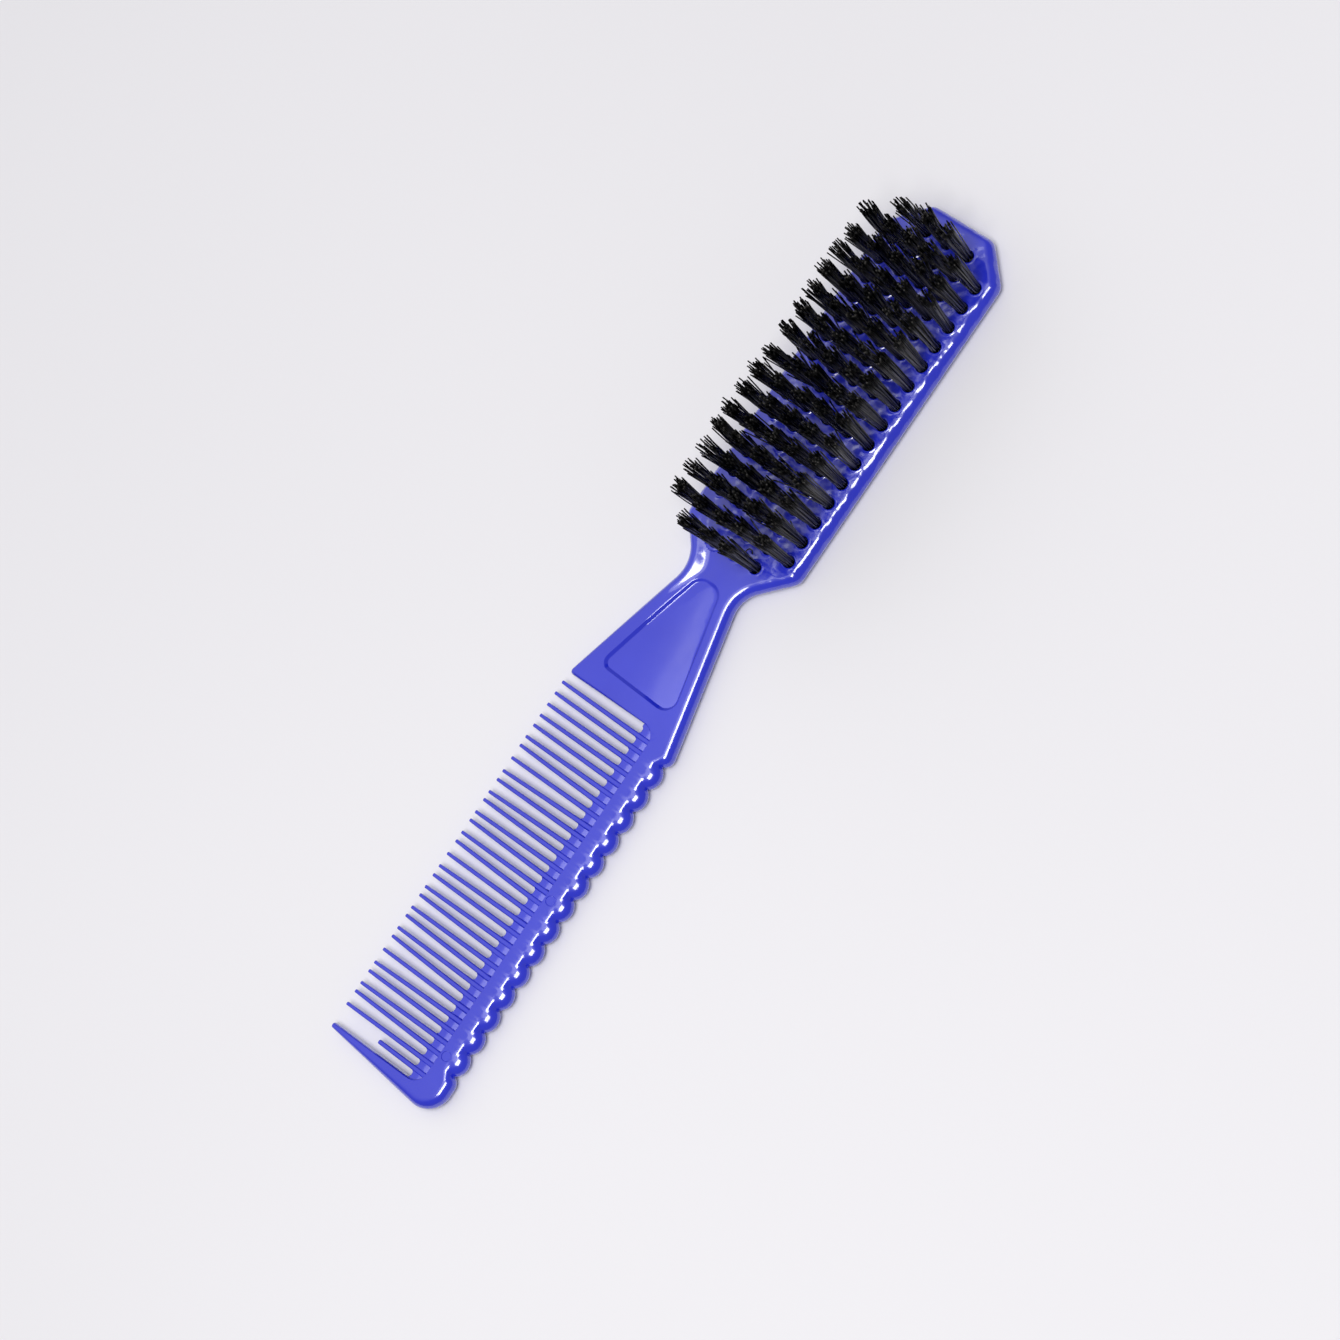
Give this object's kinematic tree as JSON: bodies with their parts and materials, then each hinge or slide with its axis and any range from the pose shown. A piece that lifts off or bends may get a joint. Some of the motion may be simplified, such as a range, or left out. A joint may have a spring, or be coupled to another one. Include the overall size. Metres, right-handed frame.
{
  "type": "fade brush",
  "caption": "Barber's fade brush: a flat tufted brush head on a waisted neck, with a full-length comb along the handle.",
  "frame": {"origin": "on the flat back, under the middle of the whole brush's bounding box", "axes": "+Z is the way the bristles stand, +Y runs from the comb's free end to the top of the brush head, and the comb's teeth point along -X"},
  "size_m": [0.0328, 0.2164, 0.0254],
  "materials": {
    "moulded_plastic": "glossy injection moulding, royal blue",
    "bristles": "black nylon filaments with a faint sheen"
  },
  "bodies": {
    "root": {"body": "moulded_plastic", "tufts_row_01_left": "bristles", "tufts_row_01_middle": "bristles", "tufts_row_01_right": "bristles", "tufts_row_02_left_pair": "bristles", "tufts_row_02_middle": "bristles", "tufts_row_02_right_pair": "bristles", "tufts_row_03_left_pair": "bristles", "tufts_row_03_middle": "bristles", "tufts_row_03_right_pair": "bristles", "tufts_row_04_left_pair": "bristles", "tufts_row_04_middle": "bristles", "tufts_row_04_right_pair": "bristles", "tufts_row_05_left_pair": "bristles", "tufts_row_05_middle": "bristles", "tufts_row_05_right_pair": "bristles", "tufts_row_06_left_pair": "bristles", "tufts_row_06_middle": "bristles", "tufts_row_06_right_pair": "bristles", "tufts_row_07_left_pair": "bristles", "tufts_row_07_middle": "bristles", "tufts_row_07_right_pair": "bristles", "tufts_row_08_left_pair": "bristles", "tufts_row_08_middle": "bristles", "tufts_row_08_right_pair": "bristles", "tufts_row_09_left_pair": "bristles", "tufts_row_09_middle": "bristles", "tufts_row_09_right_pair": "bristles", "tufts_row_10_left_pair": "bristles", "tufts_row_10_middle": "bristles", "tufts_row_10_right_pair": "bristles", "tufts_row_11_left_pair": "bristles", "tufts_row_11_middle": "bristles", "tufts_row_11_right_pair": "bristles", "tufts_row_12_left_pair": "bristles", "tufts_row_12_middle": "bristles", "tufts_row_12_right_pair": "bristles", "tufts_row_13_left_pair": "bristles", "tufts_row_13_middle": "bristles", "tufts_row_13_right_pair": "bristles", "tufts_row_14_left_pair": "bristles", "tufts_row_14_middle": "bristles", "tufts_row_14_right_pair": "bristles", "tufts_row_15_left_pair": "bristles", "tufts_row_15_middle": "bristles", "tufts_row_15_right_pair": "bristles", "tufts_row_16_left_pair": "bristles", "tufts_row_16_middle": "bristles", "tufts_row_16_right_pair": "bristles", "tufts_row_17_left": "bristles", "tufts_row_17_middle": "bristles", "tufts_row_17_right": "bristles"}
  },
  "joints": []
}
